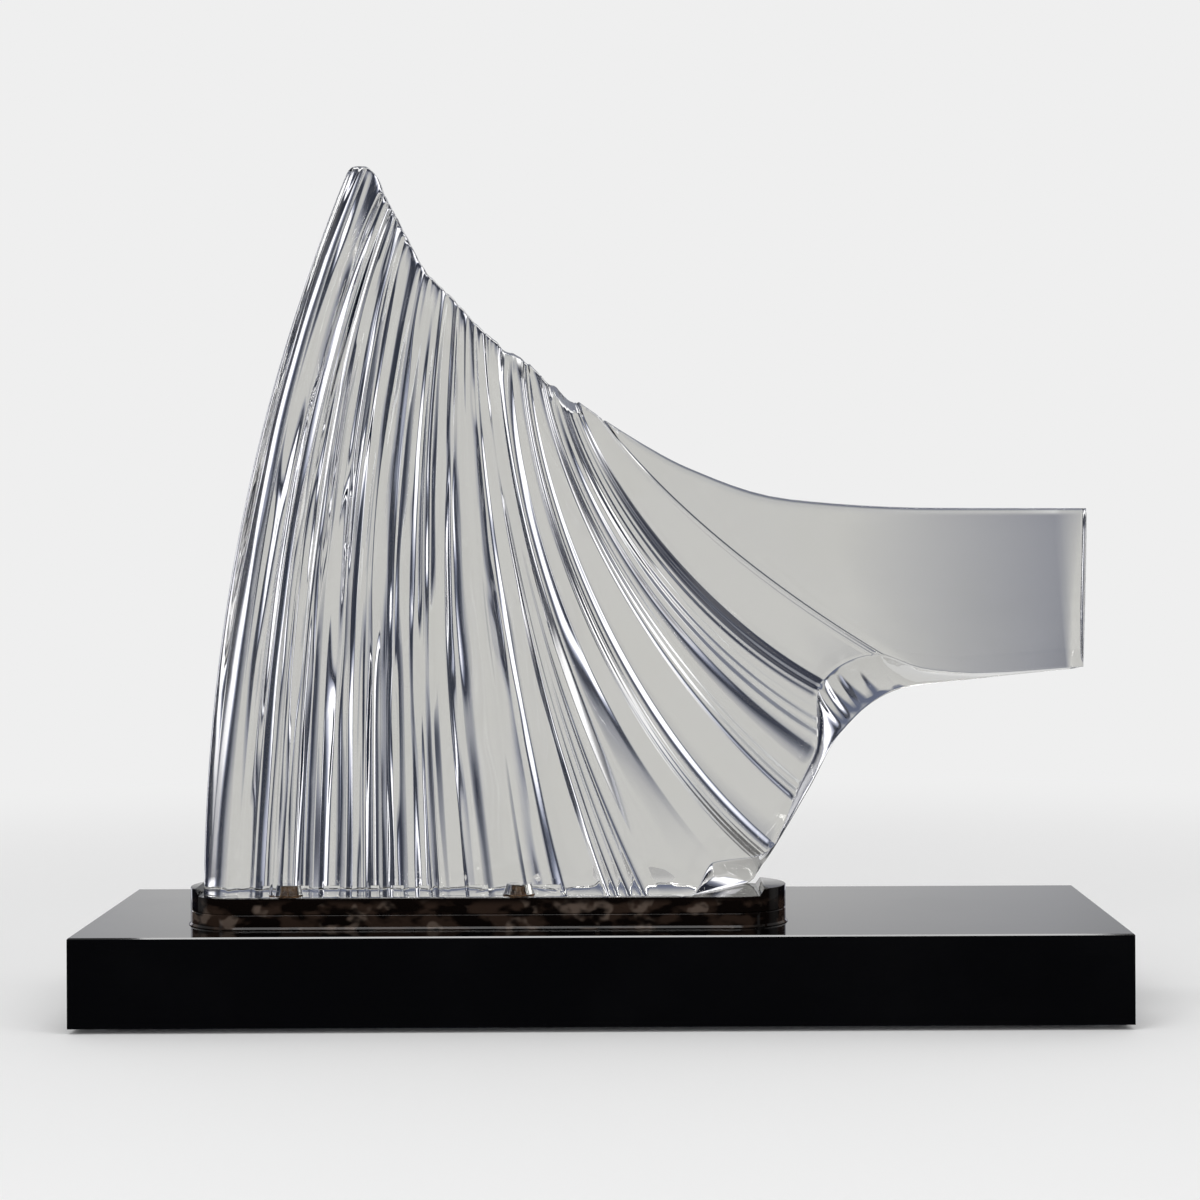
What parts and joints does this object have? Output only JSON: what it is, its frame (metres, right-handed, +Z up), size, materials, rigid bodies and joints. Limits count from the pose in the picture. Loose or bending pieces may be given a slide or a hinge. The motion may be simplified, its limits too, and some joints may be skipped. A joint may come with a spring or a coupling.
{
  "type": "drapery sculpture on a plinth",
  "caption": "Clear resin sculpture of fluted hanging cloth with a smooth side arm, bolted through a smoked plate to a gloss black slab plinth.",
  "frame": {"origin": "middle of the plinth, on the surface that the feet stand on", "axes": "+X along the plinth to the right as seen from the front, +Y to the back, +Z up"},
  "size_m": [0.61, 0.203, 0.503],
  "materials": {
    "clear_resin": "polished, water clear with a faint warm grey cast",
    "smoked_acrylic": "polished, smoked bronze brown",
    "black_acrylic": "high gloss black",
    "black_board": "black stained fibreboard",
    "timber": "planed softwood",
    "brass": "turned, dulled",
    "steel": "bright zinc plated",
    "rubber": "matt black"
  },
  "bodies": {
    "root": {"drapery": "clear_resin", "mounting_plate": "smoked_acrylic", "insert_left": "brass", "bolt_left": "steel", "washer_left": "steel", "insert_right": "brass", "bolt_right": "steel", "washer_right": "steel", "plinth_top": "black_acrylic", "plinth_front": "black_acrylic", "plinth_back": "black_acrylic", "plinth_left": "black_acrylic", "plinth_right": "black_acrylic", "base_board": "black_board", "corner_block_front_left": "timber", "base_screw_front_left": "steel", "foot_front_left": "rubber", "corner_block_back_left": "timber", "base_screw_back_left": "steel", "foot_back_left": "rubber", "corner_block_front_right": "timber", "base_screw_front_right": "steel", "foot_front_right": "rubber", "corner_block_back_right": "timber", "base_screw_back_right": "steel", "foot_back_right": "rubber"}
  },
  "joints": []
}
